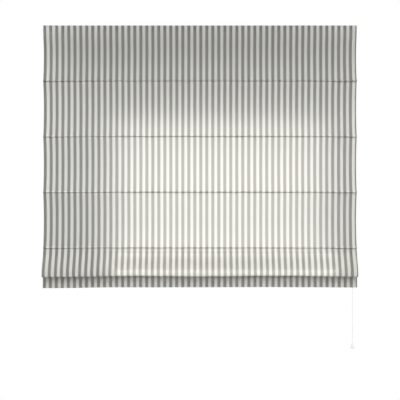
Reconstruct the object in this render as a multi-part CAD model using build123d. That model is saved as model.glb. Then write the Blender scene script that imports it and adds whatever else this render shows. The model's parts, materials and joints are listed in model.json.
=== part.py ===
from build123d import *
import math
import os

# A roman blind on a cord-operated rail. Sizes are in millimetres.
# x runs along the rail, y points to the wall and z is up. The origin is the screw hole of the
# middle bracket, in the wall's plane, so the striped face looks along -y.

# Cloth
cloth_width = 1600.0
cloth_t = 0.8
cloth_above_rail = 4.6
first_drop = 285.3
rod_pitch = 284.0
rod_count = 4
panel_sag = 6.0
heading_turn = 28.0
heading_flat = 45.0
side_hem = 25.0
seam_groove = 0.5

# Raised bottom fold and the flap that hangs below it
fold_drop = 139.6
fold_reach = 30.0
fold_radius = 11.0
rod_stack = 20.0
hem_drop = 199.7
hem_height = 32.0
hem_round = 1.2

# Rods, weight bar and rings
rod_d = 4.0
rod_play = 0.3
rod_inset = 10.0
pocket_neck = 0.6
bar_width = 25.0
bar_t = 2.5
bar_round = 0.8
bar_play = 0.3
ring_radius = 6.8
ring_wire = 2.4
ring_seat = 0.3
stop_top_r = 7.0
stop_foot_r = 4.0
stop_height = 12.0
stop_edge = 1.2

# Cords
cord_d = 1.4
cord_spacing = 2.2
cord_count = 4
cord_inset = 80.0
cord_gap = 0.1
cord_hole_gap = 0.3
knot_r = 1.7
pull_cord_d = 1.8
pull_cord_inset = 18.0
joiner_below_lock = 308.0
joiner_height = 26.0
joiner_shoulder = 9.0
joiner_width = 14.0
joiner_depth = 8.0
joiner_corner = 2.2
joiner_foot = 6.4
joiner_foot_corner = 1.9
joiner_grip = 6.0
knob_drop = 1652.5
knob_height = 23.6
knob_top_r = 3.2
knob_foot_r = 9.0
knob_wall = 1.5
knob_edge = 0.75
knob_neck = 5.0
knob_knot_r = 2.4

# Rail
rail_depth = 24.0
rail_height = 32.0
rail_wall = 1.3
rail_round = 0.65
rail_inset = 5.0
slot_mouth = 13.0
slot_width = 20.0
slot_height = 4.0
channel_mouth = 14.0
tape_width = 25.0
tape_recess = 0.5
hook_t = 1.0
loop_t = 1.0
cap_t = 2.0
cap_edge = 0.5
cap_plug = 3.0
fit_gap = 0.3
cut_over = 1.0

# Wall brackets with their turning cams
bracket_count = 3
bracket_span = 1300.0
bracket_t = 1.6
bracket_width = 28.0
bracket_drop = 15.0
bracket_rise = 14.0
bracket_hole_d = 5.5
screw_head_room = 2.6
bracket_tip_inset = 1.0
corner_r = 4.0
cam_length = 18.0
cam_width = 10.0
cam_t = 2.2
cam_gap = 0.2
cam_neck_d = 11.0
cam_shaft_d = 6.0
cam_square = 4.0
lever_length = 12.0
lever_width = 9.0
lever_t = 1.3
rib_count = 3
rib_pitch = 1.9
rib_length = 5.4
rib_t = 0.65

# Rollers and their cradles
roller_r = 4.5
roller_flange_r = 5.4
roller_flange_t = 1.0
roller_edge = 0.3
roller_length = 13.2
roller_rise = 7.7
pin_d = 2.5
pin_play = 0.05
cradle_length = 26.0
cradle_floor = 2.0
cradle_corner = 2.0
cheek_t = 2.2
cheek_gap = 0.4
cheek_length = 12.0
foot_t = 1.2
foot_width = 18.0
foot_length = 22.0
cord_slot = 4.6

# Cord lock
lock_before = 25.0
lock_after = 9.0
lock_top_wall = 4.0
chute_before = 20.0
chute_after = 6.0
chute_width = 14.4
chute_drop = 24.0
lock_side_wall = 2.3
jaw_r = 3.0
jaw_teeth = 16
jaw_tooth = 0.45
jaw_axle_d = 2.3
jaw_drop = 9.0
jaw_travel = 4.0
jaw_tilt = 32.0
jaw_room = 1.2

# Places that follow from the sizes
rail_back = -(bracket_t + screw_head_room)
rail_mid = rail_back - rail_depth / 2
rail_front = rail_back - rail_depth
rail_top = bracket_rise
rail_bottom = rail_top - rail_height
rail_length = cloth_width - 2 * rail_inset
lips_top = rail_bottom + rail_wall
slot_top = rail_top - rail_wall
slot_floor = slot_top - slot_height
channel_top = slot_floor - rail_wall
channel_width = rail_depth - 2 * rail_wall
hook_front = rail_front + tape_recess - hook_t
heading_back = hook_front - loop_t
face_y = heading_back - 2 * cloth_t
cloth_top = rail_top + cloth_above_rail
seams = [cloth_top - first_drop - k * rod_pitch for k in range(rod_count)]
fold_seam = seams[-1]
lower_rod_z = fold_seam - rod_stack
hem_z = fold_seam - hem_drop
pocket_r = rod_d / 2 + rod_play + cloth_t
rod_y = face_y + cloth_t + pocket_neck + pocket_r
ring_y = rod_y + pocket_r + ring_seat + ring_radius + ring_wire / 2
rod_length = cloth_width - 2 * rod_inset
rod_levels = seams + [lower_rod_z]
cord_r = cord_d / 2
cord_turn = roller_r + cord_gap + cord_r
roller_z = rail_bottom + rail_wall + roller_rise
cord_line_z = roller_z + cord_turn
lift_gap = (cloth_width - 2 * cord_inset) / (cord_count - 1)
lift_xs = [-cloth_width / 2 + cord_inset + i * lift_gap for i in range(cord_count)]
lift_ys = [rail_mid + (i - (cord_count - 1) / 2) * cord_spacing for i in range(cord_count)]
pull_x = cloth_width / 2 - pull_cord_inset
lock_roller_x = pull_x - cord_turn
lock_bottom = rail_bottom - chute_drop
joiner_top = lock_bottom - joiner_below_lock
joiner_bottom = joiner_top - joiner_height
knob_bottom = cloth_top - knob_drop
knob_top = knob_bottom + knob_height
stop_top = lower_rod_z - ring_wire / 2 - ring_seat
stop_bottom = stop_top - stop_height
bracket_gap = bracket_span / (bracket_count - 1)
bracket_xs = [-bracket_span / 2 + i * bracket_gap for i in range(bracket_count)]
cheek_y = roller_length / 2 + cheek_gap
cords_half = (cord_count - 1) / 2 * cord_spacing + cord_r


def rect(y0, y1, z0, z1):
    """A rectangle in the section plane, from its limits."""
    return Pos((y0 + y1) / 2, (z0 + z1) / 2) * Rectangle(abs(y1 - y0), abs(z1 - z0))


def along_x(section, x0, x1):
    """A section in y and z, run along x."""
    return Pos(x0, 0, 0) * extrude(Plane.YZ * section, x1 - x0, dir=(1, 0, 0))


def block(x0, x1, y0, y1, z0, z1):
    return Pos((x0 + x1) / 2, (y0 + y1) / 2, (z0 + z1) / 2) * Box(x1 - x0, abs(y1 - y0), abs(z1 - z0))


def bar_y(x, z, radius, half):
    """A round bar along y, centred in the rail's depth."""
    return Pos(x, rail_mid, z) * Rot(90, 0, 0) * Cylinder(radius, 2 * half)


# The cloth's section, layer by layer. A layer is given by its two distances behind the face.
def hanging_layer(top, bottom, near, far, sag):
    middle = (top + bottom) / 2
    front = ThreePointArc((face_y + near, top), (face_y + near + sag, middle), (face_y + near, bottom))
    back = ThreePointArc((face_y + far, bottom), (face_y + far + sag, middle), (face_y + far, top))
    return make_face([front, Line(front @ 1, back @ 0), back, Line(back @ 1, front @ 0)])


def tangent_foot(start, centre, radius, side):
    """The point where a line from start touches the circle, on the side asked for."""
    to_start = Vector(*start) - Vector(*centre)
    opening = math.degrees(math.acos(radius / to_start.length))
    return to_start.rotate(Axis.Z, side * opening).normalized()


def fold_layer(near, far):
    """The raised fold: down the front leg, round the bend and up the back leg."""
    centre = (face_y - fold_reach + fold_radius, fold_seam - fold_drop + fold_radius)
    upper, lower = (face_y, fold_seam), (face_y, lower_rod_z)
    out_front = tangent_foot(upper, centre, fold_radius, 1)
    out_back = tangent_foot(lower, centre, fold_radius, -1)
    middle = Vector(*centre)
    edges = []
    ends = []
    for depth in (near, far):
        radius = fold_radius - depth
        first = Vector(*upper) - out_front * depth
        last = Vector(*lower) - out_back * depth
        touch_front = middle + out_front * radius
        touch_back = middle + out_back * radius
        bend = ThreePointArc(touch_front, middle - Vector(0, radius), touch_back)
        edges += [Line(first, touch_front), bend, Line(touch_back, last)]
        ends.append((first, last))
    closing = [Line(ends[0][i], ends[1][i]) for i in (0, 1)]
    return make_face(edges + closing)


def pocket(z):
    """A sewn tube for a rod on the back of the cloth, on a short neck of two layers."""
    ring = Circle(pocket_r) - Circle(pocket_r - cloth_t)
    neck = rect(face_y + cloth_t / 2, rod_y - pocket_r + cloth_t / 2, z - cloth_t, z + cloth_t)
    return Pos(rod_y, z) * ring + neck


def hem():
    """The bottom hem, turned up at the back round the weight bar."""
    depth = bar_t + 2 * bar_play
    outer = rect(face_y, face_y + 2 * cloth_t + depth, hem_z, hem_z + hem_height)
    inner = rect(
        face_y + cloth_t, face_y + cloth_t + depth, hem_z + cloth_t, hem_z + hem_height - cloth_t
    )
    rounded = fillet(outer.vertices().sort_by(Axis.Y)[0:2], hem_round)
    return rounded - inner


def cloth_section():
    flat_end = cloth_top - heading_flat
    section = rect(face_y, face_y + cloth_t, flat_end, cloth_top)
    section += rect(face_y + cloth_t, face_y + 2 * cloth_t, cloth_top - heading_turn, cloth_top)
    section += hanging_layer(flat_end, seams[0], 0, cloth_t, panel_sag)
    for above, below in zip(seams, seams[1:]):
        section += hanging_layer(above, below, 0, cloth_t, panel_sag)
    section += fold_layer(0, cloth_t)
    section += rect(face_y, face_y + cloth_t, fold_seam - cloth_t, fold_seam + cloth_t)
    section += rect(face_y - cloth_t, face_y + cloth_t, lower_rod_z - cloth_t, lower_rod_z + cloth_t)
    section += rect(face_y, face_y + cloth_t, hem_z + cloth_t, lower_rod_z + cloth_t)
    for z in rod_levels:
        section += pocket(z)
    section += hem()
    for z in seams[:-1]:
        section -= Pos(face_y - seam_groove / 2, z) * Circle(seam_groove)
    return section


def side_hem_section():
    """The second layer along both sides, between the pockets."""
    clear = pocket_r + rod_play
    flat_end = cloth_top - heading_flat
    section = rect(face_y + cloth_t, face_y + 2 * cloth_t, flat_end, cloth_top - heading_turn)
    uppers = [flat_end] + seams[:-1]
    starts = [flat_end] + [z - clear for z in seams[:-1]]
    for upper, start, level in zip(uppers, starts, seams):
        layer = hanging_layer(upper, level, cloth_t, 2 * cloth_t, panel_sag)
        section += layer & rect(face_y, face_y + 2 * panel_sag, level + clear, start)
    section += rect(
        face_y + cloth_t, face_y + 2 * cloth_t, hem_z + hem_height, lower_rod_z - clear
    )
    return section


def fabric_panel():
    half = cloth_width / 2
    cloth = along_x(cloth_section(), -half, half)
    doubled = side_hem_section()
    return cloth + along_x(doubled, -half, side_hem - half) + along_x(doubled, half - side_hem, half)


def tape(near, far):
    middle = (rail_top + rail_bottom) / 2
    half = rail_length / 2
    return block(-half, half, near, far, middle - tape_width / 2, middle + tape_width / 2)


def headrail():
    """An extrusion with a T slot for the cams above and the cord channel below."""
    middle = (rail_top + rail_bottom) / 2
    outer = rect(rail_front, rail_back, rail_bottom, rail_top)
    outer = fillet(outer.vertices(), rail_round)
    cuts = [
        rect(rail_mid - slot_mouth / 2, rail_mid + slot_mouth / 2, slot_top, rail_top + cut_over),
        rect(rail_mid - slot_width / 2, rail_mid + slot_width / 2, slot_floor, slot_top),
        rect(rail_mid - channel_width / 2, rail_mid + channel_width / 2, lips_top, channel_top),
        rect(rail_mid - channel_mouth / 2, rail_mid + channel_mouth / 2, rail_bottom - cut_over, lips_top),
        rect(
            rail_front - cut_over,
            rail_front + tape_recess,
            middle - tape_width / 2 - fit_gap,
            middle + tape_width / 2 + fit_gap,
        ),
    ]
    for cut in cuts:
        outer -= cut
    return along_x(outer, -rail_length / 2, rail_length / 2)


def end_cap(side):
    """A cap over the rail's end with a short plug in the cord channel."""
    x = side * rail_length / 2
    face = fillet(rect(rail_front, rail_back, rail_bottom, rail_top).vertices(), rail_round)
    half = channel_width / 2 - fit_gap
    plug = rect(rail_mid - half, rail_mid + half, lips_top + fit_gap, channel_top - fit_gap)
    hollow = offset(plug, -cap_t)
    x_out, x_in = x + side * cap_t, x - side * cap_plug
    plate = along_x(face, min(x, x_out), max(x, x_out))
    plate = chamfer(plate.faces().sort_by(Axis.X)[-1 if side > 0 else 0].edges(), cap_edge)
    return plate + along_x(plug - hollow, min(x, x_in), max(x, x_in))


def bracket(x):
    """An angle plate: its back leg is screwed to the wall, its top leg lies on the rail."""
    tip = rail_front + bracket_tip_inset
    profile = rect(-bracket_t, 0, -bracket_drop, rail_top + bracket_t)
    profile += rect(tip, 0, rail_top, rail_top + bracket_t)
    corner = [v for v in profile.vertices() if abs(v.X) < 1e-6 and v.Y > rail_top]
    profile = fillet(corner, bracket_t)
    plate = along_x(profile, x - bracket_width / 2, x + bracket_width / 2)
    foot = plate.edges().filter_by(Axis.Y).group_by(Axis.Z)[0]
    nose = plate.edges().filter_by(Axis.Z).group_by(Axis.Y)[0]
    plate = fillet(foot + nose, corner_r)
    screw = Pos(x, -bracket_t / 2, 0) * Rot(90, 0, 0) * Cylinder(bracket_hole_d / 2, 2 * bracket_t)
    shaft = Pos(x, rail_mid, rail_top) * Cylinder(cam_shaft_d / 2 + cam_gap, 4 * bracket_t)
    return plate - screw - shaft


def cam(x):
    """The turning lock: a long foot under the slot's lips, a neck in its mouth and a square end."""
    foot_top = slot_top - cam_gap
    neck_top = rail_top - cam_gap
    lever_z = rail_top + bracket_t + cam_gap
    foot = extrude(Rot(0, 0, 90) * SlotOverall(cam_length, cam_width), cam_t)
    turned = Pos(x, rail_mid, foot_top - cam_t) * foot
    for radius, low, high in (
        (cam_neck_d / 2, foot_top - cam_t / 2, neck_top),
        (cam_shaft_d / 2, foot_top, lever_z),
    ):
        turned += Pos(x, rail_mid, (low + high) / 2) * Cylinder(radius, high - low)
    tip_top = lever_z + lever_t + cam_gap
    tip = Box(cam_square, cam_square, tip_top - foot_top)
    return turned + Pos(x, rail_mid, (foot_top + tip_top) / 2) * tip


def lever(x):
    """The finger lever, with a square hole over the cam's end and a row of grip ribs."""
    lever_z = rail_top + bracket_t + cam_gap
    reach = lever_length - lever_width / 2
    blade = Pos(reach / 2, 0) * SlotCenterToCenter(reach, lever_width)
    blade -= Rectangle(cam_square + 2 * pin_play, cam_square + 2 * pin_play)
    plate = extrude(blade, lever_t)
    for i in range(rib_count):
        plate += Pos(reach - i * rib_pitch, 0, lever_t) * Box(rib_t, rib_length, rib_t)
    return Pos(x, rail_mid, lever_z) * plate


def roller(x):
    """A flanged roller that turns on its pin."""
    half = roller_length / 2
    body = Cylinder(roller_r, roller_length)
    for end in (-1, 1):
        body += Pos(0, 0, end * (half - roller_flange_t / 2)) * Cylinder(roller_flange_r, roller_flange_t)
    rims = body.edges().filter_by(GeomType.CIRCLE).sort_by(Axis.Z)
    body = chamfer([rims[0], rims[-1]], roller_edge)
    body -= Cylinder(pin_d / 2 + pin_play, roller_length * 2)
    return Pos(x, rail_mid, roller_z) * Rot(90, 0, 0) * body


def cord_guide(x):
    """A cradle that stands on the rail's lips, with a cheek at each end of its roller."""
    floor_top = lips_top + cradle_floor
    half = channel_width / 2 - fit_gap
    mouth = channel_mouth / 2 - fit_gap
    cradle = block(
        x - cradle_length / 2, x + cradle_length / 2, rail_mid - half, rail_mid + half, lips_top, floor_top
    )
    cradle = chamfer(cradle.edges().filter_by(Axis.Z), cradle_corner)
    cradle += block(
        x - foot_length / 2, x + foot_length / 2, rail_mid - mouth, rail_mid + mouth, rail_bottom, lips_top
    )
    foot = chamfer(Rectangle(foot_length, foot_width).vertices(), cradle_corner)
    cradle += Pos(x, rail_mid, rail_bottom - foot_t) * extrude(foot, foot_t)
    for side in (-1, 1):
        near = rail_mid + side * cheek_y
        far = rail_mid + side * (cheek_y + cheek_t)
        low, high = min(near, far), max(near, far)
        cradle += block(x - cheek_length / 2, x + cheek_length / 2, low, high, floor_top, roller_z)
        disc = Rot(90, 0, 0) * Cylinder(cheek_length / 2, cheek_t)
        top = Pos(x, (low + high) / 2, roller_z) * disc
        cradle += top & block(x - cheek_length, x + cheek_length, low, high, roller_z, channel_top - fit_gap)
    cradle -= bar_y(x, roller_z, pin_d / 2, channel_width)
    way = SlotOverall(2 * cords_half + cord_slot, cord_slot, rotation=90)
    return cradle - Pos(x - cord_turn, rail_mid, rail_bottom - 2 * foot_t) * extrude(way, rail_height / 2)


def roller_pin(x, half):
    return bar_y(x, roller_z, pin_d / 2, half)


def jaw_place():
    return pull_x - cord_r - cord_gap - jaw_r, rail_bottom - jaw_drop


def lock_housing():
    """The cord lock: a roller chamber in the rail over a chute with the jaw's slanted slots."""
    half = channel_width / 2 - fit_gap
    mouth = channel_mouth / 2 - fit_gap
    x0, x1 = pull_x - lock_before, pull_x + lock_after
    low_x, high_x = pull_x - chute_before, pull_x + chute_after
    top = cord_line_z + cord_r + lock_top_wall
    body = block(x0, x1, rail_mid - half, rail_mid + half, lips_top, top)
    body += block(low_x, high_x, rail_mid - mouth, rail_mid + mouth, rail_bottom, lips_top)
    chute = RectangleRounded(high_x - low_x, chute_width, lock_side_wall)
    body += Pos((low_x + high_x) / 2, rail_mid, lock_bottom) * extrude(chute, chute_drop)
    chamber = cheek_y
    floor = lips_top + cradle_floor
    right = lock_roller_x + roller_flange_r + cheek_gap + cord_d
    body -= block(
        x0 - cut_over, right, rail_mid - chamber, rail_mid + chamber, floor, top + cut_over
    )
    slot_half = chute_width / 2 - lock_side_wall
    way = cord_slot / 2
    body -= block(
        pull_x - way,
        pull_x + way,
        rail_mid - slot_half,
        rail_mid + slot_half,
        lock_bottom - cut_over,
        floor + cut_over,
    )
    jaw_x, jaw_z = jaw_place()
    slide_x = jaw_travel * math.sin(math.radians(jaw_tilt))
    slide_z = jaw_travel * math.cos(math.radians(jaw_tilt))
    body -= block(
        jaw_x - slide_x - jaw_r - jaw_room,
        pull_x,
        rail_mid - slot_half,
        rail_mid + slot_half,
        jaw_z - slide_z - jaw_r - jaw_room,
        jaw_z + jaw_r + jaw_room,
    )
    track = SlotCenterToCenter(jaw_travel, jaw_axle_d + 2 * fit_gap, rotation=90 - jaw_tilt)
    through = extrude(Plane.XZ * track, chute_width, both=True)
    body -= Pos(jaw_x - slide_x / 2, rail_mid, jaw_z - slide_z / 2) * through
    return body - bar_y(lock_roller_x, roller_z, pin_d / 2, half)


def lock_jaw():
    """A toothed roller whose thin ends run in the slanted slots."""
    jaw_x, jaw_z = jaw_place()
    points = []
    for i in range(2 * jaw_teeth):
        angle = math.pi * i / jaw_teeth
        radius = jaw_r - jaw_tooth * (i % 2)
        points.append((radius * math.cos(angle), radius * math.sin(angle)))
    half = chute_width / 2 - lock_side_wall - fit_gap
    teeth = extrude(make_face(Polyline(*points, close=True)), half, both=True)
    axle = Cylinder(jaw_axle_d / 2, chute_width - 2 * fit_gap)
    return Pos(jaw_x, rail_mid, jaw_z) * Rot(90, 0, 0) * (teeth + axle)


def rod(z):
    return Pos(0, rod_y, z) * Rot(0, 90, 0) * Cylinder(rod_d / 2, rod_length)


def cord_ring(x, z):
    section = Pos(ring_radius, 0) * RegularPolygon(ring_wire / 2, 6)
    return Pos(x, ring_y, z) * revolve(Plane.XZ * section, Axis.Z)


def cord_stop(x, y):
    """A tapered stop that keeps the cord's knot under the lowest ring."""
    cone = Pos(x, ring_y, (stop_top + stop_bottom) / 2) * Cone(stop_foot_r, stop_top_r, stop_height)
    rim = cone.edges().filter_by(GeomType.CIRCLE).sort_by(Axis.Z)[-1]
    cone = chamfer(rim, stop_edge)
    return cone - Pos(x, y, stop_top) * Cylinder(cord_r + cord_gap, 3 * stop_height)


def bottom_bar():
    low = hem_z + cloth_t + bar_play
    y = face_y + cloth_t + bar_play
    section = fillet(rect(y, y + bar_t, low, low + bar_width).vertices(), bar_round)
    return along_x(section, -rod_length / 2, rod_length / 2)


def lift_cord(x, y):
    """One cord from its knot up to its roller, along the rail, over the lock's roller and down."""
    low = stop_bottom - knot_r
    end = joiner_top - joiner_grip
    half_turn = cord_turn * math.sqrt(0.5)
    roller_x = x + cord_turn
    up = Line((x, y, low), (x, y, roller_z))
    first = ThreePointArc(
        up @ 1, (roller_x - half_turn, y, roller_z + half_turn), (roller_x, y, cord_line_z)
    )
    over = Line(first @ 1, (lock_roller_x, y, cord_line_z))
    last = ThreePointArc(
        over @ 1, (lock_roller_x + half_turn, y, roller_z + half_turn), (pull_x, y, roller_z)
    )
    path = Wire([up, first, over, last, Line(last @ 1, (pull_x, y, end))])
    tube = sweep(Plane(origin=(x, y, low), z_dir=(0, 0, 1)) * Circle(cord_r), path)
    share = tube.volume / (path.length * math.pi * cord_r**2)
    print(f"lift cord at x {x:.0f}: {path.length:.0f} mm long, volume share {share:.4f}")
    return tube + Pos(x, y, low) * Sphere(knot_r)


def eight_sided(width, depth, corner):
    return chamfer(Rectangle(width, depth).vertices(), corner)


def cord_joiner():
    """A tapered piece that takes the lift cords at its top and the pull cord at its foot."""
    shoulder_z = joiner_top - joiner_shoulder
    wide = Pos(0, 0, shoulder_z) * eight_sided(joiner_depth, joiner_width, joiner_corner)
    foot = Pos(0, 0, joiner_bottom) * eight_sided(joiner_foot, joiner_foot, joiner_foot_corner)
    body = extrude(wide, joiner_shoulder) + loft([foot, wide], ruled=True)
    body = Pos(pull_x, rail_mid, 0) * body
    for y in lift_ys:
        hole = Cylinder(cord_r + cord_hole_gap, 2 * (joiner_grip + cord_d))
        body -= Pos(pull_x, y, joiner_top) * hole
    return body - Pos(pull_x, rail_mid, joiner_bottom) * Cylinder(pull_cord_d / 2, 2 * joiner_grip)


def pull_cord():
    """The single cord below the joiner, straight down to its knot inside the knob."""
    top = joiner_bottom + joiner_grip
    end = knob_top - knob_neck - knob_knot_r
    tube = Pos(pull_x, rail_mid, (top + end) / 2) * Cylinder(pull_cord_d / 2, top - end)
    return tube + Pos(pull_x, rail_mid, end) * Sphere(knob_knot_r)


def pull_knob():
    """A hollow cone with a thick neck that the cord's knot draws up against."""
    bore = pull_cord_d / 2 + cord_gap
    inner_top = knob_top - knob_neck
    outline = [
        (bore, knob_top),
        (knob_top_r - knob_edge, knob_top),
        (knob_top_r, knob_top - knob_edge),
        (knob_foot_r, knob_bottom),
        (knob_foot_r - knob_wall, knob_bottom),
        (knob_knot_r + cord_gap, inner_top),
        (bore, inner_top),
    ]
    turned = revolve(Plane.XZ * make_face(Polyline(*outline, close=True)), Axis.Z)
    return Pos(pull_x, rail_mid, 0) * turned


def pieces():
    made = {
        "fabric_panel": fabric_panel(),
        "loop_tape": tape(heading_back, hook_front),
        "hook_tape": tape(hook_front, rail_front + tape_recess),
        "headrail": headrail(),
        "end_cap_left": end_cap(-1),
        "end_cap_right": end_cap(1),
        "lock_housing": lock_housing(),
        "lock_roller": roller(lock_roller_x),
        "lock_roller_pin": roller_pin(lock_roller_x, channel_width / 2 - fit_gap),
        "lock_jaw": lock_jaw(),
        "cord_stops": Compound([cord_stop(x, y) for x, y in zip(lift_xs, lift_ys)]),
        "bottom_bar": bottom_bar(),
        "cord_joiner": cord_joiner(),
        "pull_cord": pull_cord(),
        "pull_knob": pull_knob(),
    }
    for i, x in enumerate(bracket_xs, 1):
        made[f"bracket_{i}"] = bracket(x)
        made[f"cam_{i}"] = cam(x)
        made[f"lever_{i}"] = lever(x)
    for i, (x, y) in enumerate(zip(lift_xs, lift_ys), 1):
        made[f"cord_guide_{i}"] = cord_guide(x + cord_turn)
        made[f"guide_roller_{i}"] = roller(x + cord_turn)
        made[f"roller_pin_{i}"] = roller_pin(x + cord_turn, cheek_y + cheek_t)
        made[f"lift_cord_{i}"] = lift_cord(x, y)
    for i, z in enumerate(rod_levels, 1):
        made[f"rod_{i}"] = rod(z)
        made[f"rings_{i}"] = Compound([cord_ring(x, z) for x in lift_xs])
    return made


os.makedirs("parts", exist_ok=True)
for name, shape in pieces().items():
    export_step(shape, f"parts/{name}.step")
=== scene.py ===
import json
import math

import bpy
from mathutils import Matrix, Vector, noise

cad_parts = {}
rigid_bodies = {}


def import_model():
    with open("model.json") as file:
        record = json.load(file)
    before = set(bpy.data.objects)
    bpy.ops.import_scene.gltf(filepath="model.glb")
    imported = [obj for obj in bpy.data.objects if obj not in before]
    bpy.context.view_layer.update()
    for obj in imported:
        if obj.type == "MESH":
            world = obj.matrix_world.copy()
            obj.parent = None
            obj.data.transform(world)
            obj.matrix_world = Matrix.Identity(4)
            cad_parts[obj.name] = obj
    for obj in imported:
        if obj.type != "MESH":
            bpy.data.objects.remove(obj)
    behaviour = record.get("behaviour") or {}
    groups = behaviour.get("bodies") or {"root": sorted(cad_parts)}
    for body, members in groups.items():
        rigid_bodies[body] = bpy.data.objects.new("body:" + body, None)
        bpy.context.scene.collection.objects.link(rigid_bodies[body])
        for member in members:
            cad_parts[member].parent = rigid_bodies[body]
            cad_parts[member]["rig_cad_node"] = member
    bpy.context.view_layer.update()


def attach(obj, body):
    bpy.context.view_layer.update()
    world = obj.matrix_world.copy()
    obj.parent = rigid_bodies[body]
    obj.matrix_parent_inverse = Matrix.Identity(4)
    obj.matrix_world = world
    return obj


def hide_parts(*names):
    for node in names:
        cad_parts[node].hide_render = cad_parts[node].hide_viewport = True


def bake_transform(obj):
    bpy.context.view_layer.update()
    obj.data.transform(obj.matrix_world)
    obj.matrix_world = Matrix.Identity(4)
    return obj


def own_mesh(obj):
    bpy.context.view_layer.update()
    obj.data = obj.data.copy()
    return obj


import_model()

# Sizes in metres, as the construction states them; heights count from the middle bracket's screw
# Cloth: half its width, its front face, its thickness and its top edge
HALF = 0.8
FACE = -0.0313
CLOTH = 0.0008
TOP = 0.0186
# Seams, lowest rod and hem, with the height that the hem is turned up
SEAMS = [-0.2667, -0.5507, -0.8347, -1.1187]
LOWER_ROD = -1.1387
HEM = -1.3184
HEM_HEIGHT = 0.032
# Heading: where the cloth leaves the rail's face, and how far it is turned down behind
HEADING_END = -0.015
HEADING_TURN = 0.028
# How far a panel bows back between its seams, and the width of its turned sides
SAG = 0.006
SIDE_HEM = 0.025
# Side hems: their gap to the cloth, and what they leave free at a seam and at the rail
HEM_GAP = 0.00005
HEM_CLEAR = 0.0035
HEADING_CLEAR = 0.05
# Rod pockets
ROD_Y = -0.0268
POCKET_R = 0.0031
# Raised fold: middle and radius of its bend
FOLD_Y = -0.0538
FOLD_Z = -1.2508
FOLD_R = 0.0075
# Room for the weight bar in the hem
BAR_ROOM = 0.0031
# Rail: its middle, the rollers' level, the cords' turn over a roller and their line along the rail
RAIL_MID = -0.0162
ROLLER_Z = -0.009
CORD_TURN = 0.0053
CORD_LINE = -0.0037
# Lift cords: radius, places and lower end
CORD_R = 0.0007
LIFT_XS = [-0.72, -0.24, 0.24, 0.72]
LIFT_YS = [-0.0195, -0.0173, -0.0151, -0.0129]
CORD_END = -1.1539
# Pull cord: place, radius, joiner, how far cords reach into it, and the knot
PULL_X = 0.782
PULL_R = 0.0009
JOINER_TOP = -0.350
JOINER_BOTTOM = -0.376
JOINER_GRIP = 0.004
KNOT_Z = -1.6177
KNOT_R = 0.0024
# The rods that rise
RODS = ["rod_1", "rod_2", "rod_3", "rod_4"]
# One stripe's width and one thread's pitch
STRIPE = 0.01532
THREAD_PITCH = 0.0009
# Columns of a sheet across the blind
COLUMNS = 160


# Node helpers
class Tree:
    """A short way to add and link shader nodes."""

    def __init__(self, owner, output="ShaderNodeOutputMaterial"):
        owner.use_nodes = True
        self.tree = owner.node_tree
        self.tree.nodes.clear()
        self.out = self.tree.nodes.new(output)

    def node(self, kind, **settings):
        made = self.tree.nodes.new(kind)
        for name, value in settings.items():
            setattr(made, name, value)
        return made

    def put(self, socket, value):
        if isinstance(value, bpy.types.NodeSocket):
            self.tree.links.new(value, socket)
        else:
            socket.default_value = value

    def math(self, operation, a, b=0.0, c=0.0):
        made = self.node("ShaderNodeMath", operation=operation)
        for socket, value in zip(made.inputs, (a, b, c)):
            self.put(socket, value)
        return made.outputs[0]

    def mix(self, share, a, b):
        made = self.node("ShaderNodeMix", data_type="RGBA")
        self.put(made.inputs[0], share)
        self.put(made.inputs[6], a)
        self.put(made.inputs[7], b)
        return made.outputs[2]

    def place(self):
        """The point's place in its object."""
        return self.node("ShaderNodeTexCoord").outputs["Object"]

    def noise(self, vector, scale, detail=2.0, roughness=0.5):
        made = self.node("ShaderNodeTexNoise")
        self.put(made.inputs["Vector"], vector)
        made.inputs["Scale"].default_value = scale
        made.inputs["Detail"].default_value = detail
        made.inputs["Roughness"].default_value = roughness
        return made.outputs["Fac"]

    def stretched(self, vector, scale):
        made = self.node("ShaderNodeMapping")
        self.put(made.inputs["Vector"], vector)
        made.inputs["Scale"].default_value = scale
        return made.outputs["Vector"]

    def bump(self, height, distance, strength=1.0):
        made = self.node("ShaderNodeBump")
        made.inputs["Strength"].default_value = strength
        made.inputs["Distance"].default_value = distance
        self.put(made.inputs["Height"], height)
        return made.outputs["Normal"]

    def around(self, value, spread):
        """A factor near 1 that follows a 0 to 1 value."""
        return self.math("MULTIPLY_ADD", value, 2 * spread, 1 - spread)

    def scaled(self, colour, factor):
        made = self.node("ShaderNodeVectorMath", operation="SCALE")
        self.put(made.inputs[0], colour[:3] if isinstance(colour, tuple) else colour)
        self.put(made.inputs["Scale"], factor)
        return made.outputs[0]

    def surface(self, colour, roughness, normal=None, metallic=0.0, specular=0.5):
        made = self.node("ShaderNodeBsdfPrincipled")
        self.put(made.inputs["Base Color"], colour)
        self.put(made.inputs["Roughness"], roughness)
        made.inputs["Metallic"].default_value = metallic
        made.inputs["Specular IOR Level"].default_value = specular
        if normal is not None:
            self.put(made.inputs["Normal"], normal)
        return made

    def shared(self, share, first, second):
        """Two shaders in one, with the share of the second."""
        made = self.node("ShaderNodeMixShader")
        self.put(made.inputs[0], share)
        self.put(made.inputs[1], first.outputs[0])
        self.put(made.inputs[2], second.outputs[0])
        return made

    def finish(self, shader):
        self.tree.links.new(shader.outputs[0], self.out.inputs["Surface"])


def rgb(r, g, b):
    return (r, g, b, 1.0)


# Colours of the cloth's stripes, and of the light that comes through them
GREY = rgb(0.302, 0.299, 0.283)
PALE = rgb(0.900, 0.903, 0.868)
GLOW = rgb(0.95, 0.945, 0.915)


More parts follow.
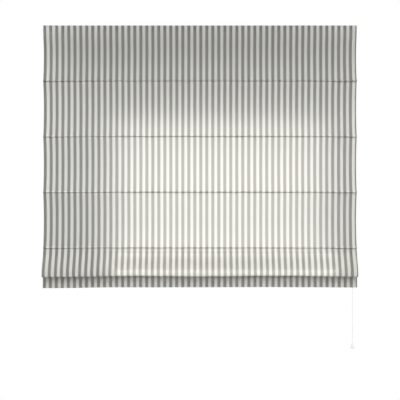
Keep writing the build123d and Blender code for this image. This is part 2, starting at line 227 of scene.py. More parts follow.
def cloth_material(name, through_share):
    """Woven stripes along the height, in the sheet's own lengths, with light coming through."""
    material = bpy.data.materials.new(name)
    t = Tree(material)
    uv = t.node("ShaderNodeUVMap", uv_map="UVMap").outputs["UV"]
    parts = t.node("ShaderNodeSeparateXYZ")
    t.put(parts.inputs[0], uv)
    across, along = parts.outputs["X"], parts.outputs["Y"]
    wander = t.noise(t.stretched(uv, (40.0, 9.0, 1.0)), 1.0)
    edge = t.math("MULTIPLY_ADD", wander, 0.0007, -0.00035)
    pairs = t.math("DIVIDE", t.math("ADD", t.math("ADD", across, HALF), edge), 2 * STRIPE)
    turn = t.math("FRACT", pairs)
    soft = t.node("ShaderNodeMapRange", interpolation_type="SMOOTHSTEP")
    t.put(soft.inputs["Value"], t.math("PINGPONG", t.math("SUBTRACT", turn, 0.25), 0.5))
    t.put(soft.inputs["From Min"], 0.235)
    t.put(soft.inputs["From Max"], 0.265)
    warp = t.noise(t.stretched(uv, (1400.0, 55.0, 1.0)), 1.0, 2.0, 0.6)
    weft = t.noise(t.stretched(uv, (60.0, 1500.0, 1.0)), 1.0, 2.0, 0.6)
    fine = t.noise(uv, 900.0, 2.0, 0.6)
    broad = t.noise(uv, 6.0)
    slubs = t.math("ADD", t.math("MULTIPLY", warp, 0.55), t.math("MULTIPLY", weft, 0.45))
    grain = t.math("ADD", t.math("MULTIPLY", slubs, 0.7), t.math("MULTIPLY", fine, 0.3))
    grey = t.scaled(GREY, t.around(grain, 0.42))
    pale = t.scaled(PALE, t.around(grain, 0.10))
    colour = t.scaled(t.mix(soft.outputs[0], grey, pale), t.around(broad, 0.025))
    threads_x = t.math("SINE", t.math("MULTIPLY", across, 2 * math.pi / THREAD_PITCH))
    threads_y = t.math("SINE", t.math("MULTIPLY", along, 2 * math.pi / THREAD_PITCH))
    weave = t.math("MULTIPLY", t.math("MULTIPLY", threads_x, threads_y), 0.25)
    normal = t.bump(t.math("ADD", weave, slubs), 0.00018, 0.55)
    cover = t.surface(colour, 0.9, normal, specular=0.16)
    t.put(cover.inputs["Sheen Weight"], 0.08)
    through = t.node("ShaderNodeBsdfTranslucent")
    t.put(through.inputs["Color"], GLOW)
    t.put(through.inputs["Normal"], normal)
    t.finish(t.shared(through_share, cover, through))
    return material


def thread_material():
    material = bpy.data.materials.new("sewing_thread")
    t = Tree(material)
    place = t.place()
    twist = t.noise(t.stretched(place, (2600.0, 2600.0, 2600.0)), 1.0, 1.0)
    colour = t.scaled(rgb(0.62, 0.61, 0.585), t.around(twist, 0.18))
    t.finish(t.surface(colour, 0.7, t.bump(twist, 0.0001, 0.4), specular=0.3))
    return material


def cord_material(name, colour, pitch):
    """A braided cord: two sets of strands that cross, in the place's own lengths."""
    material = bpy.data.materials.new(name)
    t = Tree(material)
    place = t.place()
    parts = t.node("ShaderNodeSeparateXYZ")
    t.put(parts.inputs[0], place)
    along = t.math("ADD", parts.outputs["Z"], t.math("MULTIPLY", parts.outputs["X"], 0.9))
    other = t.math("SUBTRACT", parts.outputs["Z"], t.math("MULTIPLY", parts.outputs["X"], 0.9))
    a = t.math("SINE", t.math("MULTIPLY", along, 2 * math.pi / pitch))
    b = t.math("SINE", t.math("MULTIPLY", other, 2 * math.pi / pitch))
    braid = t.math("MULTIPLY_ADD", t.math("MULTIPLY", a, b), 0.5, 0.5)
    fuzz = t.noise(place, 3000.0, 2.0)
    shade = t.math("ADD", t.math("MULTIPLY", braid, 0.7), t.math("MULTIPLY", fuzz, 0.3))
    t.finish(
        t.surface(
            t.scaled(colour, t.around(shade, 0.07)),
            0.75,
            t.bump(braid, 0.00015, 0.6),
            specular=0.3,
        )
    )
    return material


def metal_material(name, colour, along, roughness, streak, spread):
    """Metal with fine lines in one direction and a slightly uneven finish."""
    material = bpy.data.materials.new(name)
    t = Tree(material)
    place = t.place()
    lines = t.noise(t.stretched(place, along), 1.0, 3.0, 0.6)
    cloud = t.noise(place, 35.0, 2.0)
    grain = t.noise(place, 2600.0, 1.0)
    both = t.math("ADD", t.math("MULTIPLY", lines, 0.7), t.math("MULTIPLY", cloud, 0.3))
    height = t.math("ADD", lines, t.math("MULTIPLY", grain, 0.3))
    t.finish(
        t.surface(
            t.scaled(colour, t.around(both, spread)),
            t.math("MULTIPLY_ADD", lines, 0.16, roughness - 0.08),
            t.bump(height, streak, 0.5),
            metallic=0.85,
        )
    )
    return material


def plastic_material(name, colour, roughness, grain_scale, depth, spread=0.03):
    material = bpy.data.materials.new(name)
    t = Tree(material)
    place = t.place()
    grain = t.noise(place, grain_scale, 2.0, 0.6)
    cloud = t.noise(place, 60.0, 2.0)
    t.finish(
        t.surface(
            t.scaled(colour, t.around(cloud, spread)),
            t.math("MULTIPLY_ADD", grain, 0.12, roughness - 0.06),
            t.bump(grain, depth, 0.5),
        )
    )
    return material


def rod_material():
    """Glass-fibre rod, with the fibres as long streaks."""
    material = bpy.data.materials.new("fibreglass")
    t = Tree(material)
    place = t.place()
    fibres = t.noise(t.stretched(place, (18.0, 2600.0, 2600.0)), 1.0, 3.0, 0.6)
    t.finish(
        t.surface(
            t.scaled(rgb(0.78, 0.79, 0.74), t.around(fibres, 0.10)),
            0.38,
            t.bump(fibres, 0.00006, 0.5),
        )
    )
    return material


def tape_material(name, colour, scale, depth):
    """Touch-and-close tape: short hooks or a napped pile."""
    material = bpy.data.materials.new(name)
    t = Tree(material)
    place = t.place()
    cells = t.node("ShaderNodeTexVoronoi")
    t.put(cells.inputs["Vector"], place)
    cells.inputs["Scale"].default_value = scale
    pile = t.math("SUBTRACT", 1.0, cells.outputs["Distance"])
    fuzz = t.noise(place, scale * 2, 2.0)
    height = t.math("ADD", pile, t.math("MULTIPLY", fuzz, 0.5))
    t.finish(
        t.surface(t.scaled(colour, t.around(pile, 0.12)), 0.9, t.bump(height, depth, 0.8), specular=0.2)
    )
    return material


# Mesh helpers
def new_object(name, mesh, material, flat_faces=()):
    mesh.materials.append(material)
    mesh.polygons.foreach_set("use_smooth", [True] * len(mesh.polygons))
    for index in flat_faces:
        mesh.polygons[index].use_smooth = False
    mesh.update()
    made = bpy.data.objects.new(name, mesh)
    bpy.context.scene.collection.objects.link(made)
    return made


def shell(name, xs, front, back, lengths):
    """A closed sheet of cloth. front and back give a point for a place x and a row.

    lengths holds each row's place along the cloth.
    """
    rows, columns = len(lengths), len(xs)
    points = [front(x, j) for j in range(rows) for x in xs]
    points += [back(x, j) for j in range(rows) for x in xs]
    second = rows * columns
    faces = []
    for j in range(rows - 1):
        for i in range(columns - 1):
            a = j * columns + i
            faces.append((a, a + columns, a + columns + 1, a + 1))
            faces.append((second + a, second + a + 1, second + a + columns + 1, second + a + columns))
    edges_from = len(faces)
    last = (rows - 1) * columns
    for i in range(columns - 1):
        faces.append((i, i + 1, second + i + 1, second + i))
        faces.append((last + i + 1, last + i, second + last + i, second + last + i + 1))
    for j in range(rows - 1):
        a, b = j * columns, (j + 1) * columns
        faces.append((b, a, second + a, second + b))
        e, f = a + columns - 1, b + columns - 1
        faces.append((e, f, second + f, second + e))
    mesh = bpy.data.meshes.new(name)
    mesh.from_pydata(points, [], faces)
    layer = mesh.uv_layers.new(name="UVMap")
    flat = [(x, lengths[j]) for j in range(rows) for x in xs] * 2
    for loop in mesh.loops:
        layer.data[loop.index].uv = flat[loop.vertex_index]
    made = new_object(name, mesh, CLOTH_FRONT, range(edges_from, len(faces)))
    mesh.materials.append(CLOTH_BACK)
    for index in range(1, edges_from, 2):
        mesh.polygons[index].material_index = 1
    mesh.set_sharp_from_angle(angle=math.radians(50))
    return made


def columns_of(x0, x1, count):
    return [x0 + (x1 - x0) * i / count for i in range(count + 1)]


def wave(x, scale, seed, octaves=2):
    """A smooth value from about -1 to 1 that changes along x, with its own course for each seed."""
    total = 0.0
    for k in range(octaves):
        total += noise.noise(Vector((x * scale * 2**k, seed, 3.7 * k))) / 2**k
    return total


def smooth(t):
    t = min(max(t, 0.0), 1.0)
    return t * t * (3 - 2 * t)


def bell(s, reach):
    """1 at s = 0, falling off smoothly over the reach to both sides."""
    return math.exp(-((s / reach) ** 2))


def droop(x):
    """Seams hang a little lower towards both ends of the rods."""
    return -0.0016 * abs(x / HALF) ** 3


def draw_in(x, share):
    """The sides of a panel come in a little between the rods, by a share of 1 at the most."""
    edge = smooth((abs(x) - 0.70) / 0.10)
    return x * (1.0004 - 0.0020 * share * edge)


def path_normals(path):
    """The unit normal at each point of a line in y and z, to the left of its run."""
    out = []
    for i in range(len(path)):
        a, b = path[max(i - 1, 0)], path[min(i + 1, len(path) - 1)]
        d = Vector((b[0] - a[0], b[1] - a[1])).normalized()
        out.append((-d[1], d[0]))
    return out


def run_lengths(path, start=0.0):
    out = [start]
    for a, b in zip(path, path[1:]):
        out.append(out[-1] + math.hypot(b[0] - a[0], b[1] - a[1]))
    return out


# Seams: height and reach of the lip right above and below one, and place and reach of the swell over it
LIP = 0.0010
LIP_ABOVE = 0.0012
LIP_BELOW = 0.0040
SWELL = 0.0042
SWELL_PLACE = 0.0038
SWELL_REACH = 0.0025
HEADING_SWELL = 1.6
# Puckers along a seam: depth, how often they come in a metre, and reach as a share of the panel
PUCKER = 0.00035
PUCKER_SCALE = 42.0
PUCKER_REACH = 0.05


def above_seam(s, swell):
    """The cloth swells a little over its seam and then dips into it."""
    return LIP * bell(s, LIP_ABOVE) - swell * bell(s - SWELL_PLACE, SWELL_REACH)


def swell_at(x):
    """The swell over a seam stands out further towards both ends, most of all on the right."""
    return SWELL * (1 + 0.35 * smooth((-x - 0.55) / 0.2) + 0.9 * smooth((x - 0.62) / 0.13))


def below_seam(s):
    return LIP * bell(s, LIP_BELOW)


# A hanging panel between two seams
def panel_depth(x, t, k):
    """How far the face lies behind its plane, t from 0 at the upper seam to 1 at the lower."""
    bow = SAG * 4 * t * (1 - t)
    ripple = 0.0011 * wave(x, 3.1, 11.3 * k) * math.sin(math.pi * t)
    ripple += 0.0006 * wave(x + 0.07 * t, 9.0, 5.1 * k + 2) * math.sin(math.pi * t)
    pucker = PUCKER * wave(x, PUCKER_SCALE, 2.2 * k, 1)
    near = bell(t, PUCKER_REACH) + bell(1 - t, PUCKER_REACH)
    height = SEAMS[0] - SEAMS[1]
    seams = below_seam(t * height) + above_seam((1 - t) * height, swell_at(x))
    return bow + ripple + pucker * near + seams


def heading_depth(x, t):
    """The topmost panel starts flat on the rail."""
    bow = SAG * 4 * t * (1 - t) * smooth(t / 0.3)
    ripple = 0.0010 * wave(x, 3.1, 7.7) * math.sin(math.pi * t) * smooth(t / 0.3)
    pucker = PUCKER * wave(x, PUCKER_SCALE, 1.4, 1)
    seam = above_seam((1 - t) * (HEADING_END - SEAMS[0]), HEADING_SWELL * swell_at(x))
    return bow + ripple + pucker * bell(1 - t, PUCKER_REACH) + seam


def rows_between(t0, t1, count, part):
    """Row places of a half panel, closer together near its seam."""
    ts = [i / count for i in range(count + 1)]
    ts = [t**1.9 for t in ts] if part == "upper" else [1 - (1 - t) ** 2.1 for t in ts]
    return [t0 + (t1 - t0) * t for t in ts]


def panel_half(k, part, depth, body, rows=34, hem_rows=20, hem_columns=6):
    """The upper or the lower half of a panel, with its two side hems as a second layer."""
    name = f"cloth_{k + 1}_{part}"
    top, bottom = TOPS[k], SEAMS[k]
    height = top - bottom
    if part == "upper":
        t0, t1 = 0.0, 0.5
        low, high = (HEM_CLEAR / height if k else HEADING_CLEAR), t1
    else:
        t0, t1 = 0.5, 1.0
        low, high = t0, 1 - HEM_CLEAR / height
    start = TOP - top + height * t0

    def at(x, t, behind):
        level = top + (bottom - top) * t
        level += droop(x) * (smooth(t) if k == 0 else 1.0)
        return (draw_in(x, math.sin(math.pi * t)), FACE + depth(x, t) + behind, level)

    def layer(name, xs, ts, behind):
        made = shell(
            name,
            xs,
            lambda x, j: at(x, ts[j], behind),
            lambda x, j: at(x, ts[j], CLOTH + behind),
            [start + height * (t - t0) for t in ts],
        )
        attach(made, body)
        return made

    cloth = layer(name, XS, rows_between(t0, t1, rows, part), 0.0)
    hems = []
    for side, x0 in (("left", -HALF), ("right", HALF - SIDE_HEM)):
        ts = columns_of(low, high, hem_rows)
        xs = columns_of(x0, x0 + SIDE_HEM, hem_columns)
        hems.append(layer(f"{name}_hem_{side}", xs, ts, CLOTH + HEM_GAP))
    return cloth, hems


def swept_sheet(name, path, along, body, front_shift, thickness=CLOTH):
    """A sheet that follows a line in y and z. front_shift moves a point of the row j at x."""
    normals = path_normals(path)

    def at(x, j, behind):
        y, z = path[j]
        ny, nz = normals[j]
        dx, out, dz = front_shift(x, j)
        return (draw_in(x, 0.0) + dx, y + ny * (behind + out), z + nz * (behind + out) + dz)

    made = shell(name, XS, lambda x, j: at(x, j, 0.0), lambda x, j: at(x, j, thickness), along)
    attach(made, body)
    return made


def line_points(a, b, count):
    """count points from a towards b, without b."""
    steps = [i / count for i in range(count)]
    return [(a[0] + (b[0] - a[0]) * t, a[1] + (b[1] - a[1]) * t) for t in steps]


def arc_points(centre, radius, start, stop, count):
    out = []
    for i in range(count + 1):
        angle = math.radians(start + (stop - start) * i / count)
        out.append((centre[0] + radius * math.cos(angle), centre[1] + radius * math.sin(angle)))
    return out


def tube(name, points, radius, material, sides=12):
    """A round tube along points, with both its ends closed."""
    path = [Vector(p) for p in points]
    count = len(path)
    rings, faces = [], []
    for i in range(count):
        direction = (path[min(i + 1, count - 1)] - path[max(i - 1, 0)]).normalized()
        guide = Vector((0, 1, 0)) if abs(direction.y) < 0.9 else Vector((1, 0, 0))
        u = direction.cross(guide).normalized()
        v = direction.cross(u)
        for k in range(sides):
            a = 2 * math.pi * k / sides
            rings.append(path[i] + radius * (math.cos(a) * u + math.sin(a) * v))
    for i in range(count - 1):
        a, b = i * sides, (i + 1) * sides
        for k in range(sides):
            n = (k + 1) % sides
            faces.append((a + k, a + n, b + n, b + k))
    faces.append(tuple(reversed(range(sides))))
    faces.append(tuple(range((count - 1) * sides, count * sides)))
    mesh = bpy.data.meshes.new(name)
    mesh.from_pydata(rings, [], faces)
    return new_object(name, mesh, material)


def stitches(name, z, y_at, body, pitch=0.0046, length=0.003, margin=0.004):
    """A row of machine stitches, each a short raised thread whose ends dip into the cloth."""
    points, faces = [], []
    for i in range(int((2 * HALF - 2 * margin) / pitch)):
        x = -HALF + margin + pitch * (i + 0.5)
        level = z + droop(x)
        base = len(points)
        for dx, lift in zip((-0.5, -0.25, 0.25, 0.5), (-0.00015, 0.00022, 0.00022, -0.00015)):
            y = y_at(x) - lift
            for k in range(4):
                a = math.pi / 4 + k * math.pi / 2
                points.append(
                    (x + dx * length, y + 0.0002 * math.cos(a), level + 0.00022 * math.sin(a))
                )
        for s in range(3):
            for k in range(4):
                n = (k + 1) % 4
                a, b = base + 4 * s, base + 4 * (s + 1)
                faces.append((a + k, b + k, b + n, a + n))
        faces.append((base, base + 1, base + 2, base + 3))
        faces.append((base + 15, base + 14, base + 13, base + 12))
    mesh = bpy.data.meshes.new(name)
    mesh.from_pydata(points, [], faces)
    made = new_object(name, mesh, THREAD)
    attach(made, body)
    return made


# Materials
CLOTH_FRONT = cloth_material("striped_cloth", 0.45)
CLOTH_BACK = cloth_material("striped_cloth_back", 0.80)
THREAD = thread_material()
CORD = cord_material("lift_cord", rgb(0.80, 0.80, 0.78), 0.0016)
PULL = cord_material("pull_cord", rgb(0.80, 0.80, 0.79), 0.0020)
ALUMINIUM = metal_material(
    "aluminium", rgb(0.72, 0.73, 0.74), (14.0, 2200.0, 2200.0), 0.36, 0.00003, 0.05
)
ZINC = metal_material(
    "zinc_steel", rgb(0.60, 0.61, 0.62), (900.0, 900.0, 60.0), 0.42, 0.00004, 0.10
)
PLASTIC = plastic_material("white_plastic", rgb(0.80, 0.80, 0.78), 0.42, 1800.0, 0.00004)
NYLON = plastic_material("nylon", rgb(0.74, 0.73, 0.68), 0.34, 2400.0, 0.00003, 0.05)
KNOB = plastic_material("knob_plastic", rgb(0.86, 0.86, 0.88), 0.26, 900.0, 0.00002)
ROD = rod_material()
HOOKS = tape_material("hook_tape", rgb(0.70, 0.70, 0.68), 900.0, 0.0003)
LOOPS = tape_material("loop_tape", rgb(0.72, 0.71, 0.68), 1600.0, 0.0004)

FINISHES = {
    "headrail": ALUMINIUM,
    "end_cap": PLASTIC,
    "bracket": ZINC,
    "cam": ZINC,
    "lever": PLASTIC,
    "cord_guide": PLASTIC,
    "guide_roller": NYLON,
    "roller_pin": ZINC,
    "lock_housing": PLASTIC,
    "lock_roller": NYLON,
    "lock_roller_pin": ZINC,
    "lock_jaw": ZINC,
    "rod": ROD,
    "rings": PLASTIC,
    "cord_stops": PLASTIC,
    "bottom_bar": ALUMINIUM,
    "cord_joiner": PLASTIC,
    "pull_knob": KNOB,
    "pull_cord": PULL,
    "lift_cord": CORD,
    "loop_tape": LOOPS,
    "hook_tape": HOOKS,
    "fabric_panel": CLOTH_FRONT,
}


def dress_nodes():
    """Give each solid its finish, which goes by its name without its number or side."""
    for node in bpy.context.scene.objects:
        if node.type != "MESH" or "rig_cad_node" not in node:
            continue
        base = node.name.rstrip("0123456789").rstrip("_")
        for known in (node.name, base, base.replace("_left", "").replace("_right", "")):
            if known in FINISHES:
                node.data.materials.clear()
                node.data.materials.append(FINISHES[known])
                break


dress_nodes()

# Cloth: heading, four panels, raised fold and flap
XS = columns_of(-HALF, HALF, COLUMNS)
TOPS = [HEADING_END, *SEAMS[:3]]


def heading():
    """The turned top edge: up the face, over the top and down behind."""
    middle = FACE + CLOTH
    behind = middle + CLOTH
    front = line_points((FACE, HEADING_END), (FACE, TOP - CLOTH), 14)
    over = arc_points((middle, TOP - CLOTH), CLOTH, 180, 0, 8)
    down = line_points((behind, TOP - CLOTH - 0.0004), (behind, TOP - HEADING_TURN), 10)
    path = [*front, *over, *down, (behind, TOP - HEADING_TURN)]

    def shift(x, j):
        ripple = 0.00022 * wave(x, 14.0, 9.9) * smooth((path[j][1] + 0.004) / 0.02)
        return (0.0, -0.00012 * abs(wave(x, 60.0, 4.0, 1)), ripple)

    lengths = run_lengths(path)
    along = [lengths[len(front)] - length for length in lengths]
    made = swept_sheet("cloth_heading", path, along, "rail", shift, -CLOTH * 0.98)
    return made, lengths[-1]


head, head_length = heading()
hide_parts("fabric_panel")

# How far each panel's halves lean when the blind is raised
LEANS = [0.183, 0.236, 0.236, 0.236]

for k in range(4):
    top, bottom = TOPS[k], SEAMS[k]
    lean = LEANS[k]
    depth = (lambda x, t, k=k: panel_depth(x, t, k)) if k else heading_depth
    above = RODS[k - 1] if k else "rail"
    for part, body, way, edge in (("upper", above, -lean, top), ("lower", RODS[k], lean, bottom)):
        cloth, hems = panel_half(k, part, depth, body)
        for piece in (cloth, *hems):
            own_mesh(piece)


# Places across the blind, and how far the fold hangs above or below its level there
FOLD_HANG = (
    (-0.80, -0.0028),
    (-0.64, -0.0040),
    (-0.55, -0.0028),
    (-0.46, -0.0006),
    (-0.32, 0.0017),
    (-0.18, 0.0),
    (-0.05, -0.0010),
    (0.12, -0.0008),
    (0.30, 0.0014),
    (0.50, 0.0022),
    (0.65, 0.0003),
    (0.80, 0.0016),
)


def between(table, x):
    """The table's value at x, with a soft step from one place to the next."""
    for (x0, v0), (x1, v1) in zip(table, table[1:]):
        if x <= x1:
            return v0 + (v1 - v0) * smooth((x - x0) / (x1 - x0))
    return table[-1][1]


def bezier(a, b, c, d, places):
    out = []
    for t in places:
        u = 1 - t
        weights = (u**3, 3 * u * u * t, 3 * u * t * t, t**3)
        out.append(tuple(sum(w * p[i] for w, p in zip(weights, (a, b, c, d))) for i in (0, 1)))
    return out


def fold_path(front_rows=44, bend_rows=18, back_rows=20):
    """The raised fold: out and down from the fourth seam, round the bend and up to the lowest rod.

    Its rows come closer together towards the seam.
    """
    reach = FOLD_Y - FOLD_R
    behind = FOLD_Y + FOLD_R
    front = bezier(
        (FACE, SEAMS[3]),
        (FACE - 0.001, SEAMS[3] - 0.045),
        (reach, FOLD_Z + 0.055),
        (reach, FOLD_Z),
        [(i / front_rows) ** 1.6 for i in range(front_rows)],
    )
    bend = arc_points((FOLD_Y, FOLD_Z), FOLD_R, 180, 360, bend_rows)
    end_y, end_z = FACE - 0.0002, LOWER_ROD + 0.0012
    back = bezier(
        (behind, FOLD_Z),
        (behind, FOLD_Z + 0.05),
        (end_y, end_z - 0.04),
        (end_y, end_z),
        [i / back_rows for i in range(1, back_rows + 1)],
    )
    return front + bend + back


def raised_fold():
    path = fold_path()
    lengths = run_lengths(path, TOP - SEAMS[3])
    total = lengths[-1] - lengths[0]

    def shift(x, j):
        t = (lengths[j] - lengths[0]) / total
        # Ripples that fade out at the seam and at the rod
        loose = math.sin(math.pi * min(max(t, 0.0), 1.0))
        inward = 0.0010 * wave(x, 2.3, 31.0 + 2 * t) * loose
        inward += 0.0006 * wave(x, 8.0, 17.0 + 3 * t) * loose
        seam = below_seam(lengths[j] - lengths[0])
        # Round the bend the cloth hangs unevenly, and its ends lie lower and a little further out
        lower = smooth((t - 0.12) / 0.35) * (1 - smooth((t - 0.62) / 0.35))
        hang = (0.0026 * wave(x, 1.7, 3.3) - 0.0015 + between(FOLD_HANG, x)) * lower
        flare = 0.0006 * math.copysign(smooth((abs(x) - 0.74) / 0.06), x) * lower
        ends = droop(x) * (1 - smooth((t - 0.1) / 0.5))
        ends -= 0.004 * smooth((abs(x) - 0.62) / 0.18) * lower
        return (flare, inward + seam, hang + ends)

    return swept_sheet("cloth_fold", path, lengths, "rod_4", shift), total


fold, fold_length = raised_fold()


def flap_wave(x, t):
    """Depth of the flap's face, t from 0 at its rod to 1 at the hem."""
    soft = 0.0016 * wave(x, 2.6, 55.0) * t + 0.0007 * wave(x, 9.0, 56.0) * t
    side = 0.0012 * smooth((abs(x) - 0.72) / 0.08) * t
    return (soft + side) * (1 - smooth((t - 0.45) / 0.33))


def hem_level(x):
    """How far the hem hangs above its level; it drops towards the left end."""
    ripple = 0.0012 * wave(x, 1.9, 71.0) + 0.0004 * wave(x, 7.0, 72.0)
    return ripple - 0.0044 * smooth((-x - 0.40) / 0.35) - 0.0007


def flap():
    """The flap below the lowest rod: down the face, round the hem and up behind the weight bar."""
    top = LOWER_ROD + 0.0006
    height = top - HEM
    radius = 0.0012
    crease = HEM + HEM_HEIGHT + 0.002
    back = FACE + 2 * CLOTH + BAR_ROOM
    front = line_points((FACE, top), (FACE, crease), 30)
    front += line_points((FACE, crease), (FACE, HEM + radius), 12)
    turn = arc_points((FACE + radius, HEM + radius), radius, 180, 270, 5)
    turn += arc_points((back - radius, HEM + radius), radius, 270, 360, 5)
    bend_z = HEM + HEM_HEIGHT - radius
    up = line_points((back, HEM + radius + 0.0008), (back, bend_z - 0.001), 10)
    over = arc_points((back - radius, bend_z), radius, 0, 80, 5)
    end = (FACE + CLOTH + 0.0003, bend_z + radius + 0.0016)
    close = line_points((back - radius, bend_z + radius), end, 4)[1:]
    path = [*front, *turn, *up, *over, *close, end]
    lengths = run_lengths(path, TOP - SEAMS[3] + fold_length)
    normals = path_normals(path)

    def at(x, j, behind):
        y, z = path[j]
        ny, nz = normals[j]
        t = min((top - z) / height, 1.0)
        # The hem's row of stitches pulls a groove into the face
        groove = 0.0006 * bell(z - HEM - HEM_HEIGHT - 0.001, 0.0022) if j < len(front) else 0.0
        flare = 0.0008 * t * math.copysign(smooth((abs(x) - 0.6) / 0.2), x)
        return (
            x * 1.0025 + flare,
            y + ny * behind + groove + flap_wave(x, t),
            z + nz * behind + hem_level(x) * t,
        )

    made = shell("cloth_flap", XS, lambda x, j: at(x, j, 0.0), lambda x, j: at(x, j, CLOTH), lengths)
    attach(made, "rod_4")
    return made, lengths[-1] - lengths[0]


lower_flap, flap_length = flap()


def rod_pocket(index, z, body):
    """A sewn tube for a rod, open at both ends, with its two layers meeting at the seam."""
    neck = FACE + CLOTH
    r = POCKET_R - CLOTH / 2
    path = [(neck + 0.0001, z + 0.0007), (neck + 0.0010, z + 0.0009)]
    path += arc_points((ROD_Y, z), r, 150, -150, 26)
    path += [(neck + 0.0010, z - 0.0009), (neck + 0.0001, z - 0.0007)]
    lengths = run_lengths(path, 0.9 + 0.05 * index)
    normals = path_normals(path)

    def at(x, j, behind):
        y, level = path[j]
        ny, nz = normals[j]
        out = behind + 0.00012 * wave(x, 48.0, 8.0 * index + 0.2 * j, 1)
        return (x, y + ny * out, level + nz * out + droop(x))

    made = shell(
        f"pocket_{index}",
        columns_of(-HALF + 0.001, HALF - 0.001, 110),
        lambda x, j: at(x, j, -CLOTH / 2),
        lambda x, j: at(x, j, CLOTH / 2),
        lengths,
    )
    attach(made, body)
    return made, lengths[-1] - lengths[0]


pocket_places = [(SEAMS[k], RODS[k]) for k in range(4)] + [(LOWER_ROD, "rod_4")]
for index, (z, body) in enumerate(pocket_places, 1):
    made, length = rod_pocket(index, z, body)

# Machine stitches: above each seam and along the hem, whose place on the flap is a share of its height
SEAM_LINE = 0.0052
HEM_LINE = 0.0012
HEM_SHARE = 0.83
seams = [
    stitches(f"seam_stitches_{k + 1}", z + SEAM_LINE, lambda x: FACE - 0.0003, RODS[k])
    for k, z in enumerate(SEAMS)
]
hem_z = HEM + HEM_HEIGHT + HEM_LINE
seams.append(
    stitches("hem_stitches", hem_z, lambda x: FACE + flap_wave(x, HEM_SHARE) + 0.0004, "rod_4")
)


# Lift cords: up through the rings, over their roller and along the rail to the lock
CORD_STEP = 0.06
CORD_SIDES = 10


def cord_turn(centre_x, y, start, count=8):
    """A quarter turn over a roller, clockwise from the start angle and without its first point."""
    angles = [start - math.pi / 2 * s / count for s in range(1, count + 1)]
    return [
        (centre_x + CORD_TURN * math.cos(a), y, ROLLER_Z + CORD_TURN * math.sin(a)) for a in angles
    ]


def cord_parts(i):
    x, y = LIFT_XS[i], LIFT_YS[i]
    drop = ROLLER_Z - CORD_END
    hanging = [(x, y, CORD_END + drop * s / 24) for s in range(24)] + [(x, y, ROLLER_Z)]
    first = tube(f"lift_cord_{i + 1}_hanging", hanging, CORD_R, CORD, CORD_SIDES)
    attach(first, "rail")
    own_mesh(first)
    start, end = x + CORD_TURN, PULL_X - CORD_TURN
    steps = max(int((end - start) / CORD_STEP), 2)
    level = [(start + (end - start) * s / steps, y, CORD_LINE) for s in range(1, steps + 1)]
    path = [(x, y, ROLLER_Z), *cord_turn(start, y, math.pi), *level, *cord_turn(end, y, math.pi / 2)]
    second = tube(f"lift_cord_{i + 1}_rail", path, CORD_R, CORD, CORD_SIDES)
    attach(second, "rail")
    return first, second


def cord_drop(i):
    """From the lock down into the joiner."""
    y = LIFT_YS[i]
    low_y = RAIL_MID + (y - RAIL_MID) * 0.45
    drop = JOINER_TOP - JOINER_GRIP - ROLLER_Z
    points = [
        (PULL_X, y + (low_y - y) * smooth(s / 32), ROLLER_Z + drop * (s / 32)) for s in range(33)
    ]
    made = tube(f"lift_cord_{i + 1}_drop", points, CORD_R, CORD, CORD_SIDES)
    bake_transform(made)
    return made


for i in range(4):
    first, second = cord_parts(i)
    third = cord_drop(i)
    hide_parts(f"lift_cord_{i + 1}")

# Pull cord with the knot inside its knob
PULL_STEP = 0.012
levels = [JOINER_BOTTOM + JOINER_GRIP - s * PULL_STEP for s in range(103)]
levels = [z for z in levels if z > KNOT_Z + PULL_STEP / 4] + [KNOT_Z]
pull_points = [(PULL_X, RAIL_MID, z) for z in levels]
pull = tube("pull_cord_line", pull_points, PULL_R, PULL, 12)
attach(pull, "pull")
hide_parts("pull_cord")
bpy.ops.mesh.primitive_uv_sphere_add(
    segments=20, ring_count=12, radius=KNOT_R, location=(PULL_X, RAIL_MID, KNOT_Z)
)
knot = bpy.context.object
knot.name = "pull_knot"
knot.data.materials.append(PULL)
for face in knot.data.polygons:
    face.use_smooth = True
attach(knot, "pull")


# Room
def seen_directly(t):
    """1 for rays from the camera or off a shiny surface, 0 for all other rays."""
    rays = t.node("ShaderNodeLightPath")
    return t.math("MAXIMUM", rays.outputs["Is Camera Ray"], rays.outputs["Is Glossy Ray"])


def floor_material():
    """White to the camera, and a plain pale surface to the light."""
    material = bpy.data.materials.new("floor")
    t = Tree(material)
    cloud = t.noise(t.place(), 2.0)
    plain = t.surface(t.scaled(rgb(0.8, 0.8, 0.8), t.around(cloud, 0.01)), 0.9, specular=0.1)
    white = t.node("ShaderNodeEmission")
    t.put(white.inputs["Strength"], 1.0)
    t.finish(t.shared(seen_directly(t), plain, white))
    return material


bpy.ops.mesh.primitive_plane_add(size=14, location=(0, 0, -2.75))
floor = bpy.context.object
floor.name = "floor"
floor.data.materials.append(floor_material())

# Strength of the light from all round
ROOM_LIGHT = 0.14

world = bpy.data.worlds.new("room")
bpy.context.scene.world = world
room = Tree(world, "ShaderNodeOutputWorld")
level = room.node("ShaderNodeMapRange")
room.put(level.inputs["Value"], seen_directly(room))
room.put(level.inputs["To Min"], ROOM_LIGHT)
room.put(level.inputs["To Max"], 1.0)
air = room.node("ShaderNodeBackground")
room.put(air.inputs["Color"], rgb(1, 1, 1))
room.put(air.inputs["Strength"], level.outputs[0])
room.finish(air)


def area(name, place, target, size, power, tint=(1, 1, 1)):
    """A rectangular lamp that faces its target and isn't seen itself."""
    data = bpy.data.lights.new(name, "AREA")
    data.shape = "RECTANGLE"
    data.size, data.size_y = size
    data.energy = power
    data.color = tint
    lamp = bpy.data.objects.new(name, data)
    bpy.context.scene.collection.objects.link(lamp)
    lamp.location = place
    lamp.rotation_euler = (Vector(target) - Vector(place)).to_track_quat("-Z", "Y").to_euler()
    lamp.visible_camera = False
    lamp.visible_glossy = False


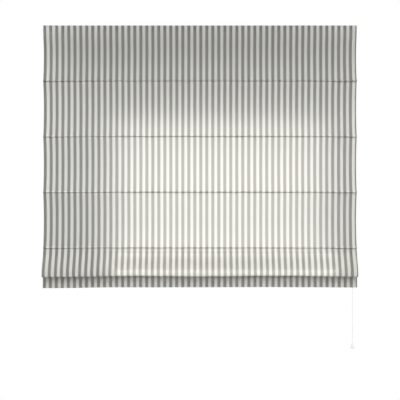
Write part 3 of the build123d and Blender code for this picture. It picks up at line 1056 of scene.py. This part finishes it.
area("front_left", (-3.2, -3.4, 1.15), (0, 0, -0.75), (1.6, 2.2), 90.0)
area("front_right", (3.2, -3.0, 0.95), (0, 0, -0.85), (1.6, 2.0), 89.0)
area("overhead", (-0.5, -2.3, 2.5), (0, 0, -0.8), (2.6, 1.4), 115.0)

# Daylight behind the cloth: the window, and lamps in one slanted plane inside the raised fold.
# Each of those has its lower and upper edge, its width, how far it looks up and its strength per area.
DAYLIGHT = (1.0, 0.99, 0.97)
FOLD_LAMPS = (
    ("fold_wide", -1.255, -1.145, 1.26, 0.0184, 0.50),
    ("fold_whole", -1.255, -1.150, 1.10, 0.0184, 0.42),
    ("fold_seam", -1.158, -1.139, 1.10, 0.0184, 0.85),
    ("fold_upper", -1.172, -1.139, 1.16, 0.0184, 0.45),
    ("fold_middle", -1.255, -1.208, 1.16, 0.0184, 0.55),
    ("fold_lower", -1.255, -1.226, 1.12, -0.0400, 1.60),
)
FOLD_LAMP_X = 0.13
FOLD_LAMP_Y = -0.0350
FOLD_LAMP_Z = -1.157
FOLD_LAMP_SLANT = 0.184
area("window", (0.105, 0.085, -0.850), (0.105, 0, -0.850), (1.10, 0.76), 2.58, DAYLIGHT)
area("window_low", (0.12, 0.05, -1.105), (0.12, 0, -1.105), (1.2, 0.05), 0.113, DAYLIGHT)
for name, low, high, width, tilt, strength in FOLD_LAMPS:
    z = (low + high) / 2
    y = FOLD_LAMP_Y + (z - FOLD_LAMP_Z) * FOLD_LAMP_SLANT
    target = (FOLD_LAMP_X, y - 0.1, z + tilt)
    size = (width, high - low)
    area(name, (FOLD_LAMP_X, y, z), target, size, strength * width * (high - low), DAYLIGHT)


def board_material():
    material = bpy.data.materials.new("card")
    t = Tree(material)
    cloud = t.noise(t.place(), 3.0)
    t.finish(t.surface(t.scaled(rgb(0.3, 0.3, 0.3), t.around(cloud, 0.05)), 0.95))
    return material


BOARD = board_material()


def board(name, place, size, tilt=0.0):
    """A dull panel that shades a part of the light and isn't seen itself."""
    bpy.ops.mesh.primitive_plane_add(size=1, location=place, rotation=(tilt, 0, 0))
    made = bpy.context.object
    made.name = name
    made.scale = (*size, 1)
    made.data.materials.append(BOARD)
    made.visible_camera = False
    made.visible_glossy = False


# A sill and a lining behind the fold keep the daylight off the flap
board("sill", (0.1, 0.125, -1.262), (1.8, 0.24))
board("lining", (0.1, -0.012, -1.210), (1.8, 0.104), math.pi / 2)
# A card over the blind keeps some of the high light off its top
board("card", (0.09, -0.38, 0.27), (1.82, 0.28))

camera_data = bpy.data.cameras.new("camera")
camera_data.sensor_width = 36
camera_data.lens = 52.87
camera = bpy.data.objects.new("camera", camera_data)
bpy.context.scene.collection.objects.link(camera)
camera.location = (0.0002, -3.0313, -0.8731)
camera.rotation_euler = (math.pi / 2, 0, 0)
bpy.context.scene.camera = camera
bpy.context.scene.view_settings.view_transform = "Standard"
